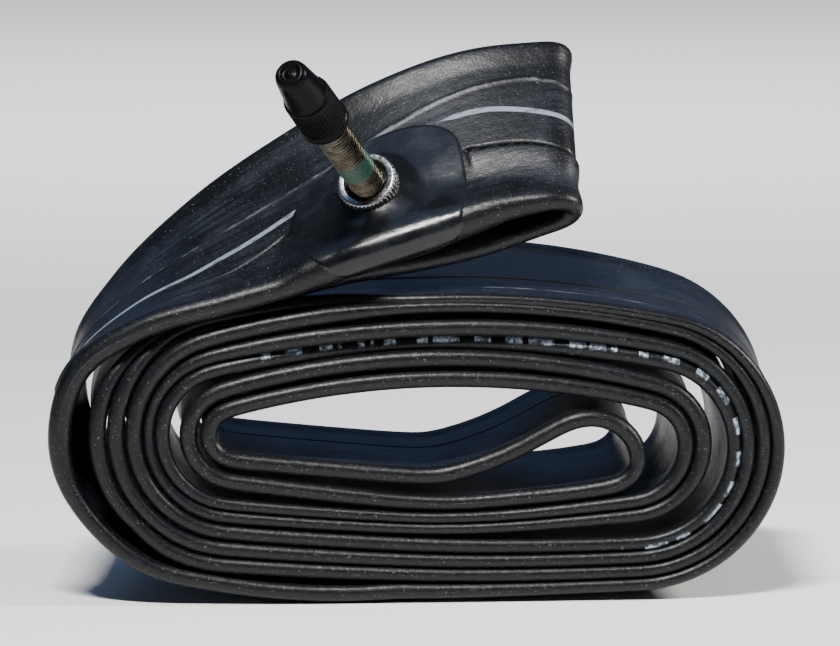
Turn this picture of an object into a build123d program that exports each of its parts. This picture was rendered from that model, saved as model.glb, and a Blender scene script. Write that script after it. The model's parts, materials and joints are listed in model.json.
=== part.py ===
"""Bicycle inner tube, rolled up for storage: a flattened butyl ring with a Presta valve."""
import os
from math import asin, atan2, cos, hypot, pi, radians, sin, sqrt

from build123d import *

# ---------------------------------------------------------------- driving dimensions (mm)
FLAT_WIDTH = 38.0        # flattened tube, edge to edge
THICKNESS = 2.6          # flattened tube, both walls and the puffed edges evened out
PITCH = 3.1              # from one layer of the roll to the next
TURNS_A = 6              # half turns of the arm that ends under the valve run
TURNS_B = 5              # half turns of the arm that ends along the bottom
OUTER_CENTRE = (-31.7, 28.2)   # centre of the outermost left bend, which stands off a little

LEFT_BEND_X = -31.1      # centre of the left-hand bends
RIGHT_BEND_X = 38.0      # centre of the right-hand bends
INNER_BEND = 4.4         # centreline radius of the innermost left bend
CROWN_RADIUS = 106.5     # from the crown's centre to the centre of the right-hand bends
BOTTOM_LAYERS = 7        # layers between the lowest one and the floor of the eye

LOOP_X = 30.5            # centre of the loop where the roll starts
LOOP_RADIUS = 4.5        # centreline radius of that loop
RISE_X = -2.0            # where the inner layer starts to rise towards the loop
RISE_RADIUS = 60.0       # centreline radius of that rise

FOLD_GAP = 0.5           # clear space inside the fold of the valve run

STEM_D = 6.0             # threaded valve stem
STEM_BORE_D = 3.0
MOUTH_D = 5.2            # reduced thread under the cap
MOUTH_STEP = 0.4         # length of the step down to it
FOOT_D = 11.0            # flange that holds the stem in the rubber
FOOT_T = 0.8
NUT_D = 10.4
NUT_T = 3.0
BEVEL = 0.4              # on the corners of the nuts
CAP_D = 8.6
CAP_LENGTH = 17.4
CAP_RIM_T = 1.2          # plain ring below the knurled collar
CAP_COLLAR_INSET = 0.2   # knurled collar under the ring's radius
CAP_SHOULDER_D = 7.2
CAP_TIP_D = 5.4
CAP_TIP_BEVEL = 0.5
CAP_DIMPLE_D = 3.2
CAP_DIMPLE_DEPTH = 0.6
CAP_TOP_T = 1.8          # between the hollow and the tip
CAP_ROOM = 0.35          # radial room round the lock nut
CORE_D = 4.2
CORE_HEAD_D = 3.8
CORE_FLATS = 3.0         # across the two wrench flats
WASHER_ROOM = 0.1        # radial room inside the washer
PIN_D = 1.5
PIN_BEAD_D = 1.9         # swelling that keeps the lock nut on the pin
PIN_BEAD_T = 0.9
SEAL_D = 2.7
PIN_FOOT_D = 2.1
LOCK_NUT_D = 4.0
LOCK_NUT_T = 2.6
LOCK_NUT_EDGE = 0.3
RUNNING_FIT = 0.05       # radial clearance where a piece slides on another

PAD_LENGTH = 46.0        # moulded reinforcement round the valve, along the tube
PAD_WIDTH = 32.0
PAD_CROWN = 0.36         # size of its top against its base
KNURL_R = 0.22
NUT_KNURLS = 40
CAP_KNURLS = 32
LOCK_NUT_KNURLS = 16

# heights along the valve axis, from the middle of the flattened tube
PAD_LOW_S = -2.2
PAD_TOP_S = 3.6
FOOT_S = 1.7
NUT_S = 3.9
MOUTH_S = 26.8
STEM_END_S = 34.0
CAP_S = 27.8
COLLAR_TOP_S = 37.0
CORE_SEAT_S = 25.0
WASHER_T = 0.6
CORE_TOP_S = 36.9
PIN_LOW_S = 23.5
PIN_TOP_S = 43.1
SEAL_T = 1.6

# ---------------------------------------------------------------- layout of the roll
half_t = THICKNESS / 2
bottom_z = half_t
left_centre = (LEFT_BEND_X, bottom_z + BOTTOM_LAYERS * PITCH + INNER_BEND)
right_centre = (RIGHT_BEND_X, left_centre[1] - PITCH)


def circle_meeting(near, near_distance, far, far_distance):
    """The lower point at the two given distances from two centres."""
    dx, dz = far[0] - near[0], far[1] - near[1]
    span = hypot(dx, dz)
    along = (near_distance ** 2 - far_distance ** 2 + span ** 2) / (2 * span)
    across = sqrt(near_distance ** 2 - along ** 2)
    return (near[0] + (along * dx + across * dz) / span,
            near[1] + (along * dz - across * dx) / span)


# each half turn over the crown adds one pitch, and so does each straight below it
crown_centre = circle_meeting(left_centre, CROWN_RADIUS + PITCH, right_centre, CROWN_RADIUS)
LEFT_TOP = atan2(left_centre[1] - crown_centre[1], left_centre[0] - crown_centre[0])
RIGHT_TOP = atan2(right_centre[1] - crown_centre[1], right_centre[0] - crown_centre[0])
LEFT_SIDE = pi
LEFT_BOTTOM = 3 * pi / 2
RIGHT_BOTTOM = -pi / 2


def arm(first_radius, half_turns):
    """Clockwise arcs (centre, radius, start, end) of one arm, from the inside outwards."""
    arcs = []
    radius = first_radius
    for turn in range(half_turns + 1):
        if turn % 2 == 0:
            arcs.append((left_centre, radius, LEFT_BOTTOM, LEFT_TOP))
            arcs.append((crown_centre, radius + CROWN_RADIUS + PITCH, LEFT_TOP, RIGHT_TOP))
        else:
            arcs.append((right_centre, radius, RIGHT_TOP, RIGHT_BOTTOM))
        radius += PITCH
    return arcs


def strand():
    """The whole centreline, from the outer end of arm A through the loop to the end of arm B."""
    arm_a = arm(INNER_BEND, TURNS_A)[:-1]
    centre, radius, start, _ = arm_a[-1]
    arm_a[-1] = (centre, radius, start, LEFT_SIDE)
    inward = [(c, r, end, begin) for c, r, begin, end in reversed(arm_a)]
    loop_z = left_centre[1] - INNER_BEND - PITCH + LOOP_RADIUS
    loop_centre = (LOOP_X, loop_z)
    rise_centre = (RISE_X, left_centre[1] - INNER_BEND + RISE_RADIUS)
    dx, dz = loop_centre[0] - rise_centre[0], loop_centre[1] - rise_centre[1]
    slope = atan2(dz, dx) + asin((RISE_RADIUS + LOOP_RADIUS) / hypot(dx, dz))
    rise = (rise_centre, RISE_RADIUS, -pi / 2, slope - pi / 2)
    loop = (loop_centre, LOOP_RADIUS, slope + pi / 2, -pi / 2)
    outermost = (OUTER_CENTRE, OUTER_CENTRE[1] - bottom_z, LEFT_BOTTOM, LEFT_SIDE)
    return inward + [rise, loop] + arm(INNER_BEND + PITCH, TURNS_B) + [outermost]


def on_circle(centre, radius, angle):
    return (centre[0] + radius * cos(angle), centre[1] + radius * sin(angle))


def side_points(arcs, offset):
    """Start, middle and end of every arc, moved sideways by offset (left of travel is plus)."""
    points = []
    for centre, radius, start, end in arcs:
        side_radius = radius + offset if end < start else radius - offset
        points.append([on_circle(centre, side_radius, a) for a in (start, (start + end) / 2, end)])
    return points


# ---------------------------------------------------------------- layout of the valve run
# centre of the flattened tube (x, y, z) and how far its outer face leans forward (degrees):
# from the roll's outermost left bend up over the roll to the fold at the right
OVER = [
    (OUTER_CENTRE[0] - OUTER_CENTRE[1] + bottom_z, 0.0, OUTER_CENTRE[1], 0),
    (-56.9, 0.0, 39.6, -1),
    (-48.0, -1.0, 49.0, 8),
    (-33.6, -3.0, 57.7, 23),
    (-17.0, -5.0, 65.8, 36),
    (-1.0, -5.5, 72.8, 45),
    (13.0, -5.0, 77.8, 45),
    (25.0, -4.5, 80.1, 40),
]
# the return under it, from the bend inside that one to the fold
UNDER = [
    (LEFT_BEND_X - INNER_BEND - TURNS_A * PITCH, 0.0, left_centre[1], 0),
    (-52.3, 0.5, 37.0, 0),
    (-44.9, 3.2, 48.2, 5),
    (-32.2, 3.2, 58.0, 22),
    (-17.0, 0.4, 65.4, 36),
    (-1.0, -3.5, 70.4, 45),
    (13.0, -3.9, 74.6, 45),
]
VALVE_STATION = 4        # the valve stands between this point of OVER and the next
VALVE_AT = 0.615         # how far along between them
VALVE_DROP = 4.1         # from the centreline towards the front edge
VALVE_AXIS = Vector(-0.356, -0.756, 0.549).normalized()


def station_plane(points, index):
    """Section plane at one point: local x across the width, local y along the outer normal."""
    before, here, after = points[max(index - 1, 0)], points[index], points[min(index + 1, len(points) - 1)]
    travel = Vector(*(b - a for a, b in zip(before[:3], after[:3]))).normalized()
    if index == 0:
        travel = Vector(0, 0, 1)
    outward = travel.cross(Vector(0, 1, 0)).normalized()
    across = outward.cross(travel)
    lean = radians(here[3])
    width_dir = across * cos(lean) + outward * sin(lean)
    face_dir = outward * cos(lean) - across * sin(lean)
    return Plane(origin=here[:3], x_dir=width_dir, z_dir=width_dir.cross(face_dir))


over_planes = [station_plane(OVER, i) for i in range(len(OVER))]
under_planes = [station_plane(UNDER, i) for i in range(len(UNDER))]
fold_start = over_planes[-1]
fold_drop = fold_start.y_dir * (THICKNESS + FOLD_GAP)
under_planes.append(Plane(origin=fold_start.origin - fold_drop, x_dir=fold_start.x_dir, z_dir=fold_start.z_dir))

valve_low, valve_high = over_planes[VALVE_STATION], over_planes[VALVE_STATION + 1]
valve_origin = (valve_low.origin * (1 - VALVE_AT) + valve_high.origin * VALVE_AT
                - (valve_low.x_dir + valve_high.x_dir).normalized() * VALVE_DROP)
valve_side = VALVE_AXIS.cross(Vector(0, 0, 1)).normalized()
valve_plane = Plane(origin=valve_origin, x_dir=valve_side, z_dir=VALVE_AXIS)
valve_section = Plane(origin=valve_origin, x_dir=valve_side, z_dir=valve_side.cross(VALVE_AXIS))
valve_line = Axis(valve_origin, VALVE_AXIS)
UPWARD = (Align.CENTER, Align.CENTER, Align.MIN)


def profile(points):
    """Half section in the plane of the valve axis, from (radius, height) points."""
    with BuildSketch(valve_section) as outline:
        with BuildLine():
            Polyline(*points, close=True)
        make_face()
    return outline.sketch


# ---------------------------------------------------------------- valve
with BuildPart() as valve_stem:
    revolve(profile([
        (STEM_BORE_D / 2, 0),
        (STEM_D / 2, 0),
        (STEM_D / 2, FOOT_S),
        (FOOT_D / 2, FOOT_S),
        (FOOT_D / 2, FOOT_S + FOOT_T),
        (STEM_D / 2, FOOT_S + FOOT_T),
        (STEM_D / 2, MOUTH_S),
        (MOUTH_D / 2, MOUTH_S + MOUTH_STEP),
        (MOUTH_D / 2, STEM_END_S - BEVEL),
        (MOUTH_D / 2 - BEVEL, STEM_END_S),
        (CORE_D / 2, STEM_END_S),
        (CORE_D / 2, CORE_SEAT_S),
        (STEM_BORE_D / 2, CORE_SEAT_S),
    ]), axis=valve_line)
valve_stem.part.label = "valve_stem"

with BuildPart() as rim_nut:
    nut_top = NUT_S + NUT_T
    nut_bore = STEM_D / 2 + RUNNING_FIT
    revolve(profile([
        (nut_bore, NUT_S),
        (NUT_D / 2 - BEVEL, NUT_S),
        (NUT_D / 2, NUT_S + BEVEL),
        (NUT_D / 2, nut_top - BEVEL),
        (NUT_D / 2 - BEVEL, nut_top),
        (nut_bore + BEVEL, nut_top),
        (nut_bore, nut_top - BEVEL),
    ]), axis=valve_line)
    with BuildSketch(valve_plane.offset(NUT_S)):
        with PolarLocations(NUT_D / 2, NUT_KNURLS):
            Circle(KNURL_R)
    extrude(amount=NUT_T, mode=Mode.SUBTRACT)
rim_nut.part.label = "rim_nut"

core_low = CORE_SEAT_S + WASHER_T
with BuildPart() as core_washer:
    revolve(profile([
        (STEM_BORE_D / 2 + WASHER_ROOM, CORE_SEAT_S),
        (CORE_D / 2, CORE_SEAT_S),
        (CORE_D / 2, core_low),
        (STEM_BORE_D / 2 + WASHER_ROOM, core_low),
    ]), axis=valve_line)
core_washer.part.label = "core_washer"

with BuildPart() as core_body:
    revolve(profile([
        (PIN_D / 2 + RUNNING_FIT, core_low),
        (CORE_D / 2, core_low),
        (CORE_D / 2, STEM_END_S),
        (CORE_HEAD_D / 2, STEM_END_S),
        (CORE_HEAD_D / 2, CORE_TOP_S),
        (PIN_D / 2 + RUNNING_FIT, CORE_TOP_S),
    ]), axis=valve_line)
    with BuildSketch(valve_plane.offset(STEM_END_S)):
        Circle(CORE_D)
        Rectangle(CORE_FLATS, 2 * CORE_D, mode=Mode.SUBTRACT)
    extrude(amount=CORE_TOP_S - STEM_END_S, mode=Mode.SUBTRACT)
core_body.part.label = "core_body"

seal_low = core_low - RUNNING_FIT - SEAL_T
with BuildPart() as core_pin:
    revolve(profile([
        (0, PIN_LOW_S),
        (PIN_FOOT_D / 2, PIN_LOW_S),
        (PIN_FOOT_D / 2, seal_low),
        (PIN_D / 2, seal_low),
        (PIN_D / 2, PIN_TOP_S - PIN_BEAD_T),
        (PIN_BEAD_D / 2, PIN_TOP_S - PIN_BEAD_T * 2 / 3),
        (PIN_BEAD_D / 2, PIN_TOP_S - PIN_BEAD_T / 3),
        (PIN_D / 2, PIN_TOP_S),
        (0, PIN_TOP_S),
    ]), axis=valve_line)
core_pin.part.label = "core_pin"

with BuildPart() as core_seal:
    revolve(profile([
        (PIN_D / 2, seal_low),
        (SEAL_D / 2, seal_low),
        (SEAL_D / 2, seal_low + SEAL_T),
        (PIN_D / 2, seal_low + SEAL_T),
    ]), axis=valve_line)
core_seal.part.label = "core_seal"

lock_low = CORE_TOP_S + 2 * RUNNING_FIT
lock_top = lock_low + LOCK_NUT_T
with BuildPart() as core_lock_nut:
    revolve(profile([
        (PIN_D / 2 + RUNNING_FIT, lock_low),
        (LOCK_NUT_D / 2 - BEVEL, lock_low),
        (LOCK_NUT_D / 2, lock_low + BEVEL),
        (LOCK_NUT_D / 2, lock_top - LOCK_NUT_EDGE),
        (LOCK_NUT_D / 2 - LOCK_NUT_EDGE, lock_top),
        (PIN_D / 2 + RUNNING_FIT, lock_top),
    ]), axis=valve_line)
    with BuildSketch(valve_plane.offset(lock_low)):
        with PolarLocations(LOCK_NUT_D / 2, LOCK_NUT_KNURLS):
            Circle(KNURL_R / 2)
    extrude(amount=LOCK_NUT_T, mode=Mode.SUBTRACT)
core_lock_nut.part.label = "core_lock_nut"

with BuildPart() as dust_cap:
    cap_bore = MOUTH_D / 2 + RUNNING_FIT
    cap_top = CAP_S + CAP_LENGTH
    collar_low = CAP_S + CAP_RIM_T + CAP_COLLAR_INSET
    collar_r = CAP_D / 2 - CAP_COLLAR_INSET
    lock_room = LOCK_NUT_D / 2 + CAP_ROOM
    revolve(profile([
        (cap_bore + BEVEL, CAP_S),
        (collar_r, CAP_S),
        (CAP_D / 2, CAP_S + CAP_COLLAR_INSET),
        (CAP_D / 2, CAP_S + CAP_RIM_T),
        (collar_r, collar_low),
        (collar_r, COLLAR_TOP_S),
        (CAP_SHOULDER_D / 2, COLLAR_TOP_S + BEVEL),
        (CAP_TIP_D / 2, cap_top - CAP_TIP_BEVEL),
        (CAP_TIP_D / 2 - CAP_TIP_BEVEL, cap_top),
        (CAP_DIMPLE_D / 2, cap_top),
        (CAP_DIMPLE_D / 2 - CAP_COLLAR_INSET, cap_top - CAP_DIMPLE_DEPTH),
        (0, cap_top - CAP_DIMPLE_DEPTH),
        (0, cap_top - CAP_TOP_T),
        (PIN_BEAD_D / 2 + CAP_ROOM, cap_top - CAP_TOP_T - BEVEL),
        (lock_room, lock_top + CAP_RIM_T),
        (lock_room, STEM_END_S + 2 * BEVEL),
        (cap_bore, STEM_END_S + BEVEL),
        (cap_bore, CAP_S + BEVEL),
    ]), axis=valve_line)
    with BuildSketch(valve_plane.offset(collar_low)):
        with PolarLocations(collar_r, CAP_KNURLS):
            Circle(KNURL_R)
    extrude(amount=COLLAR_TOP_S - collar_low, mode=Mode.SUBTRACT)
dust_cap.part.label = "dust_cap"


# ---------------------------------------------------------------- rubber
with BuildPart() as tube_coil:
    with BuildSketch(Plane.XZ):
        with BuildLine():
            arcs = strand()
            sides = [side_points(arcs, half_t), side_points(arcs, -half_t)]
            for side in sides:
                for points in side:
                    ThreePointArc(*points)
                for here, following in zip(side, side[1:]):
                    if abs(following[0][0] - here[2][0]) > half_t:
                        Line(here[2], following[0])
            Line(sides[0][0][0], sides[1][0][0])
            Line(sides[0][-1][2], sides[1][-1][2])
        make_face()
    extrude(amount=FLAT_WIDTH / 2, both=True)
tube_coil.part.label = "tube_coil"

with BuildPart() as tube_valve_run:
    for plane in over_planes:
        with BuildSketch(plane):
            Rectangle(FLAT_WIDTH, THICKNESS)
    loft()
    for plane in under_planes:
        with BuildSketch(plane):
            Rectangle(FLAT_WIDTH, THICKNESS)
    loft()
    with BuildSketch(fold_start):
        Rectangle(FLAT_WIDTH, THICKNESS)
    revolve(axis=Axis(fold_start.origin - fold_drop / 2, fold_start.x_dir), revolution_arc=180)
    add(valve_stem.part, mode=Mode.SUBTRACT)
    with Locations(valve_plane):
        Cylinder(STEM_BORE_D / 2, PAD_TOP_S, align=UPWARD, mode=Mode.SUBTRACT)
tube_valve_run.part.label = "tube_valve_run"

with BuildPart() as pad_blank:
    with BuildSketch(valve_plane.offset(PAD_LOW_S)):
        Ellipse(PAD_LENGTH / 2, PAD_WIDTH / 2)
    with BuildSketch(valve_plane.offset(PAD_TOP_S)):
        Ellipse(PAD_LENGTH / 2 * PAD_CROWN, PAD_WIDTH / 2 * PAD_CROWN)
    loft()
    add(valve_stem.part, mode=Mode.SUBTRACT)
    add(tube_valve_run.part, mode=Mode.SUBTRACT)

# the blank reaches through the tube, and only what lies on its outer face is the pad
with BuildPart() as valve_pad:
    add(pad_blank.part.solids().sort_by(SortBy.VOLUME)[-1])
valve_pad.part.label = "valve_pad"

# ---------------------------------------------------------------- files
PIECES = [
    tube_coil, tube_valve_run, valve_pad, valve_stem, rim_nut,
    core_body, core_washer, core_pin, core_seal, core_lock_nut, dust_cap,
]
os.makedirs("parts", exist_ok=True)
for piece in PIECES:
    export_step(piece.part, f"parts/{piece.part.label}.step")
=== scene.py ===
"""The look of a rolled-up bicycle inner tube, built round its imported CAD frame."""
import json
from math import atan2, cos, hypot, pi, radians, sin, sqrt, tau

import bpy
import numpy as np
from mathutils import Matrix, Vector


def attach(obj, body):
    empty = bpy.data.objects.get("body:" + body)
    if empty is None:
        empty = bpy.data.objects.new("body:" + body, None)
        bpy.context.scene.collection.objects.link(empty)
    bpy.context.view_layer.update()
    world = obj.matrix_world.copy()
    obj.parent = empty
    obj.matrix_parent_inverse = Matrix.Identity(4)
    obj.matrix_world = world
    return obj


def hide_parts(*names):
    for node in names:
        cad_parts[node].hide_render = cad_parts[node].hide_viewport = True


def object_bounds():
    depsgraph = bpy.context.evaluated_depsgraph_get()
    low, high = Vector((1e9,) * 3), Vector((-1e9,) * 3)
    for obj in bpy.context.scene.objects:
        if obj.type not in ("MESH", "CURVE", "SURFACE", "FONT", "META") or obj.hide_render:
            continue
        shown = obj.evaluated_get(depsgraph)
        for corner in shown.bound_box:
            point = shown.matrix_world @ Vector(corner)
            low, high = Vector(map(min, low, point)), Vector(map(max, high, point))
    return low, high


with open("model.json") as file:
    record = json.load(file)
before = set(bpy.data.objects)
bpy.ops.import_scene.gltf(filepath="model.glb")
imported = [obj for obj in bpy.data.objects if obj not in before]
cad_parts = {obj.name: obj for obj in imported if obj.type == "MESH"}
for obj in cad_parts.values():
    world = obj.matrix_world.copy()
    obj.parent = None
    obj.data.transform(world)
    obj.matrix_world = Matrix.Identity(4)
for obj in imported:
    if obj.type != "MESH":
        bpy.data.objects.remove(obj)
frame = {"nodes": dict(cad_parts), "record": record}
CAD_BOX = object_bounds()
NODES = frame["nodes"]
MM = 0.001

# ---------------------------------------------------------------- the valve's place, from the frame
BARREL_AT = 16.0            # mm up the valve axis, where the record's valve_barrel mount is
barrel = next(m for m in frame["record"]["mounts"] if m["name"] == "valve_barrel")
VALVE_AXIS = np.array(barrel["axis"]) / np.linalg.norm(barrel["axis"])
VALVE_FOOT = np.array(barrel["pos_m"]) / MM - BARREL_AT * VALVE_AXIS

# ---------------------------------------------------------------- the ring's route (mm, seen from the front)
WIDTH = 38.0                # the tube pressed flat
HALF = WIDTH / 2
X_AXIS, Y_AXIS = np.eye(3)[:2]

# the closed oval that the innermost layer follows: four tangent arcs
LEFT, LEFT_R = np.array([-31.1, 29.0]), 4.4
RIGHT, RIGHT_R = np.array([38.0, 26.8]), 7.3
TOP_R, BOTTOM_R = 142.4, 900.0
MIDDLE_X = -3.0             # where a layer counts as halfway along the top or the bottom
MEAN_OUT = 10.0             # quarter turns are measured along the oval this far out

# how far each layer lies outside that oval, at its left, top, right and bottom in turn
ARM_A = (0, 0, 0, 7.1, 7.6, 5.6, 8.1, 11.7, 12.4, 12.2, 13.2, 16.9, 18.5)
ARM_A_FROM = 0.0
ARM_B = (3.3, 3.5, 2.9, 9.0, 9.8, 8.6, 10.5, 14.4, 15.4, 15.6, 15.7, 19.9)
ARM_B_FROM = 4.4
# the last layer over the top leans forward and starts further back: quarter turns and values
ARM_B_LEAN = ((-1, 8.0, 8.6, 9.0, 9.4, 9.8, 10.1, 11), (0, 0, 4.0, 7.0, 6.0, 3.0, 0, 0))
ARM_B_BACK = ((-1, 3.6, 4.0, 4.4, 8.1, 8.4, 8.8, 9.1, 11), (0, 0, 1.2, 0, 0, 3.3, 3.0, 0, 0))
ARM_A_BACK = ((-1, 4.3, 5.0, 5.7, 12), (0, 0, 2.2, 0, 0))
ARM_A_LEAN = ((-1, 12), (0, 0))

# the loop where the two arms meet, from arm A's start round to arm B's (x, z)
LOOP = [(3.6, 21.7), (8.6, 22.9), (16.0, 25.7), (22.0, 28.9), (26.5, 31.0), (30.8, 31.2), (34.6, 29.4),
        (37.0, 26.0), (37.0, 22.4), (34.6, 20.1), (30.0, 19.1), (24.5, 18.4), (16.0, 17.7), (8.0, 17.1)]

# x, y, z and outward lean (degrees): off the bottom, up the left and over the roll to the fold
OUTER = [(-10.0, 0.0, 2.0, -1), (-21.8, 0.0, 3.0, -3), (-33.7, 0.0, 5.2, -5), (-44.7, 0.0, 8.6, -7),
         (-52.1, 0.0, 14.8, -8), (-57.2, 0.0, 23.1, -8), (-58.6, 0.0, 31.0, -5), (-56.9, 0.0, 39.6, -1),
         (-48.0, -1.0, 49.0, 8), (-33.6, -3.0, 57.7, 23), (-17.0, -5.0, 65.8, 36), (-1.0, -5.5, 72.8, 45),
         (12.5, -5.0, 77.7, 45), (22.2, -4.6, 79.4, 41)]
# back from the fold under that run, down to the bend inside it
RETURN = [(12.0, -3.3, 72.9, 45), (-1.0, -2.9, 69.9, 45), (-17.0, 0.4, 64.4, 36), (-32.0, 3.2, 56.2, 23),
          (-44.5, 3.2, 47.0, 6), (-52.3, 0.5, 37.0, 0)]
SHEAR, SHEAR_FROM, SHEAR_OVER, SHEAR_HEIGHT = 0.12, -2.0, 20.0, 60.0   # the fold isn't square to the run
FOLD, FOLD_LONG = 5.4, 1.7  # between the two runs at the fold, and how far its round is drawn out
STEP = 1.25                 # between rings along the tube


def smooth(x):
    x = np.clip(x, 0, 1)
    return x * x * (3 - 2 * x)


def centre_beyond(a, from_a, b, from_b, side):
    """The point at those distances from a and b, on one side of the line between them."""
    line = b - a
    span = hypot(*line)
    line = line / span
    along = (from_a ** 2 - from_b ** 2 + span ** 2) / (2 * span)
    across = sqrt(from_a ** 2 - along ** 2)
    return a + along * line + side * across * np.array([-line[1], line[0]])


def oval():
    """Rows x, z, outward normal x, z and quarter turns (0 to 4) round the oval, clockwise from its left."""
    top = centre_beyond(LEFT, TOP_R - LEFT_R, RIGHT, TOP_R - RIGHT_R, -1)
    bottom = centre_beyond(LEFT, BOTTOM_R - LEFT_R, RIGHT, BOTTOM_R - RIGHT_R, 1)
    left_top, right_top = atan2(*(LEFT - top)[::-1]), atan2(*(RIGHT - top)[::-1])
    right_low, left_low = atan2(*(RIGHT - bottom)[::-1]), atan2(*(LEFT - bottom)[::-1])
    arcs = [(LEFT, LEFT_R, pi, left_top), (top, TOP_R, left_top, right_top),
            (RIGHT, RIGHT_R, right_top, right_low), (bottom, BOTTOM_R, right_low, left_low),
            (LEFT, LEFT_R, left_low + tau, pi)]
    rows = []
    for centre, radius, start, end in arcs:
        count = max(2, int(abs(end - start) * (radius + MEAN_OUT) / 0.25))
        for a in np.linspace(start, end, count, endpoint=False):
            rows.append((centre[0] + radius * cos(a), centre[1] + radius * sin(a), cos(a), sin(a)))
    rows = np.array(rows)
    outside = rows[:, :2] + MEAN_OUT * rows[:, 2:]
    run = lengths(np.vstack([outside, outside[:1]]))
    x, nx, nz = rows[:, 0], rows[:, 2], rows[:, 3]
    over_top, down_right, under = (nz > 0) & (x > MIDDLE_X), (nz < 0) & (nx > 0), (nz < 0) & (x < MIDDLE_X)
    firsts = [np.argmax(stretch) for stretch in (over_top, down_right, under)]
    quarters = np.interp(run[:-1], [0, *run[firsts], run[-1]], np.arange(5.0))
    return np.c_[rows, quarters]


def lengths(points):
    """Distance along a line of points, at each point."""
    return np.r_[0, np.cumsum(np.linalg.norm(np.diff(points, axis=0), axis=1))]


def cubic(u, knots, values, tangents):
    gaps = np.diff(knots)
    k = np.clip(np.searchsorted(knots, u, side="right") - 1, 0, len(gaps) - 1)
    t = (u - knots[k]) / gaps[k]
    return ((2 * t ** 3 - 3 * t ** 2 + 1) * values[k] + (t ** 3 - 2 * t ** 2 + t) * gaps[k] * tangents[k]
            + (3 * t ** 2 - 2 * t ** 3) * values[k + 1] + (t ** 3 - t ** 2) * gaps[k] * tangents[k + 1])


def easy(u, knots, values):
    """A smooth curve through the values that never overshoots them."""
    knots, values = np.asarray(knots, float), np.asarray(values, float)
    slopes = np.diff(values) / np.diff(knots)
    tangents = np.zeros(len(knots))
    rising = slopes[1:] * slopes[:-1] > 0
    mean = 2 * slopes[1:] * slopes[:-1] / np.where(rising, slopes[1:] + slopes[:-1], 1)
    tangents[1:-1] = np.where(rising, mean, 0)
    tangents[0], tangents[-1] = slopes[0], slopes[-1]
    return cubic(u, knots, values, tangents)


def round_curve(u, knots, values):
    """A curve through the values that turns as evenly as they allow."""
    gaps = np.diff(knots)
    slopes = np.diff(values) / gaps
    inner = (gaps[1:] * slopes[:-1] + gaps[:-1] * slopes[1:]) / (gaps[1:] + gaps[:-1])
    return cubic(u, knots, values, np.r_[slopes[0], inner, slopes[-1]])


def arm(first, outs, back, lean):
    """Points (x, y, z, lean) of one arm, clockwise from the middle of the bottom."""
    base = oval()
    turns = np.concatenate([base[:, 4] + 4 * k for k in range(-1, 4)])
    base = np.vstack([base] * 5)
    last = len(outs) - 1
    keep = (turns >= -1) & (turns <= last)
    base, turns = base[keep][::4], turns[keep][::4]
    out = easy(turns, np.arange(-1, last + 1), [first, *outs])
    place = base[:, :2] + out[:, None] * base[:, 2:4]
    return np.c_[place[:, 0], easy(turns, *back), place[:, 1], easy(turns, *lean)]


def through(rows, step=1.0):
    """Points at about that step on a smooth curve through the rows."""
    rows = np.asarray(rows, float)
    run = lengths(rows[:, :3])
    at = np.linspace(0, run[-1], int(run[-1] / step) + 1)
    return np.column_stack([round_curve(at, run, rows[:, k]) for k in range(rows.shape[1])])


def across_of(points, lean, outward):
    """Direction across the strip: from its front edge to its back edge."""
    travel = np.gradient(points, axis=0)
    out = outward * np.cross(travel, Y_AXIS)
    out /= np.linalg.norm(out, axis=1)[:, None]
    lean = np.radians(lean)[:, None]
    skew = SHEAR * smooth((points[:, :1] - SHEAR_FROM) / SHEAR_OVER) * (points[:, 2:] > SHEAR_HEIGHT)
    return np.cos(lean) * Y_AXIS + np.sin(lean) * out + skew * X_AXIS


def blur(values, spread):
    """Each column of a closed run of values, smoothed over that many samples."""
    reach = np.arange(-int(3 * spread), int(3 * spread) + 1)
    weights = np.exp(-0.5 * (reach / spread) ** 2)
    weights /= weights.sum()
    return sum(w * np.roll(values, -k, axis=0) for k, w in zip(reach, weights))


def ring_route():
    """Closed centreline with the direction across the strip at every point."""
    arm_a = arm(ARM_A_FROM, ARM_A, ARM_A_BACK, ARM_A_LEAN)
    arm_b = arm(ARM_B_FROM, ARM_B, ARM_B_BACK, ARM_B_LEAN)
    loop = [(x, 0.0, z, 0.0) for x, z in LOOP]
    round_loop = through([arm_a[12], arm_a[6], arm_a[0], *loop, arm_b[0], arm_b[6], arm_b[12]])
    outward = through([arm_b[-14], arm_b[-7], arm_b[-1], *OUTER])
    over_across = across_of(outward[:, :3], outward[:, 3], 1)
    end, across = outward[-1, :3], over_across[-1]
    travel = outward[-1, :3] - outward[-2, :3]
    travel /= np.linalg.norm(travel)
    face = np.cross(travel, across)
    face /= np.linalg.norm(face)
    turn = np.linspace(0, pi, 9)[1:-1, None]
    fold = end - face * (1 - np.cos(turn)) * FOLD / 2 + travel * np.sin(turn) * FOLD_LONG * FOLD / 2
    back = through([(*(end - face * FOLD), OUTER[-1][3]), *RETURN, arm_a[-1], arm_a[-7], arm_a[-14]])
    inner_a, inner_b = arm_a[13:-14][::-1], arm_b[13:-14]
    stretches = [
        (round_loop[:, :3], across_of(round_loop[:, :3], round_loop[:, 3], 1)),
        (inner_b[:, :3], across_of(inner_b[:, :3], inner_b[:, 3], 1)),
        (outward[:, :3], over_across),
        (fold, np.tile(across, (len(fold), 1))),
        (back[:, :3], across_of(back[:, :3], back[:, 3], -1)),
        (inner_a[:, :3], across_of(inner_a[:, :3], inner_a[:, 3], -1)),
    ]
    return np.vstack([p for p, _ in stretches]), np.vstack([a for _, a in stretches])


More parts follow.
